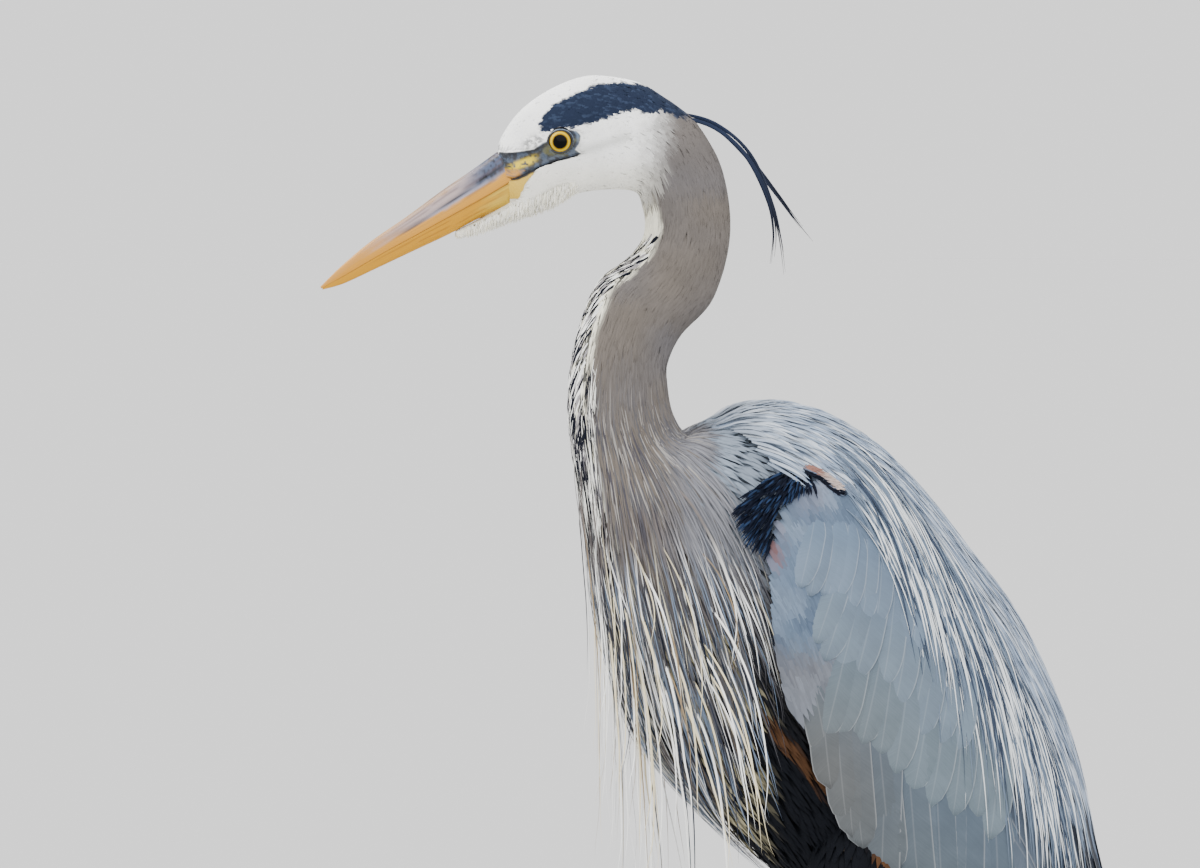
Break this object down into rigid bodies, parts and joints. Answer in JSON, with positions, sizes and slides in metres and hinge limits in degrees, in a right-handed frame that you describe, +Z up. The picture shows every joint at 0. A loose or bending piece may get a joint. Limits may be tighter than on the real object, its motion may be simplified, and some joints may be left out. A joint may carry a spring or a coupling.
{
  "type": "great blue heron model",
  "caption": "Life-size standing great blue heron with folded wings, bent neck, dagger bill and long hanging chest plumes.",
  "frame": {"origin": "on the floor, under the middle of the bounding box", "axes": "+Z up, the bird faces -Y, its left side is towards +X"},
  "size_m": [0.2046, 0.5499, 0.9308],
  "materials": {
    "head_feathers": "soft white feather, blue-black stripe over the eye",
    "neck_feathers": "soft pinkish grey feather",
    "body_feathers": "soft feather, black sides and streaked belly",
    "chest_plumes": "long narrow hanging plumes, silky",
    "mantle_plumes": "blue-grey feather with long pale plumes",
    "nape_plumes": "long narrow blue-black plumes, slight sheen",
    "wing_feathers": "smooth blue-grey feather",
    "flight_feathers": "slate-black flight feather",
    "tail_feathers": "smooth blue-grey feather",
    "thigh_feathers": "short chestnut feather",
    "upper_bill": "horn, satin, dusky along the ridge",
    "lower_bill": "horn, satin, orange-yellow",
    "eye": "wet gloss, yellow iris and black pupil",
    "leg_skin": "scaled skin, satin",
    "claw": "horn, satin black"
  },
  "bodies": {
    "root": {"bill_lower": "lower_bill", "bill_upper": "upper_bill", "chest_plumes": "chest_plumes", "claw_hind_left": "claw", "claw_hind_right": "claw", "claw_inner_left": "claw", "claw_inner_right": "claw", "claw_middle_left": "claw", "claw_middle_right": "claw", "claw_outer_left": "claw", "claw_outer_right": "claw", "eye_left": "eye", "eye_right": "eye", "foot_left": "leg_skin", "foot_right": "leg_skin", "head": "head_feathers", "mantle": "mantle_plumes", "nape_plume_left": "nape_plumes", "nape_plume_middle": "nape_plumes", "nape_plume_right": "nape_plumes", "neck_lower": "neck_feathers", "neck_middle": "neck_feathers", "neck_upper": "neck_feathers", "shank_left": "leg_skin", "shank_right": "leg_skin", "tail": "tail_feathers", "tarsus_left": "leg_skin", "tarsus_right": "leg_skin", "thigh_left": "thigh_feathers", "thigh_right": "thigh_feathers", "trunk": "body_feathers", "wing_left": "wing_feathers", "wing_right": "wing_feathers", "wing_tip_left": "flight_feathers", "wing_tip_right": "flight_feathers"}
  },
  "joints": []
}
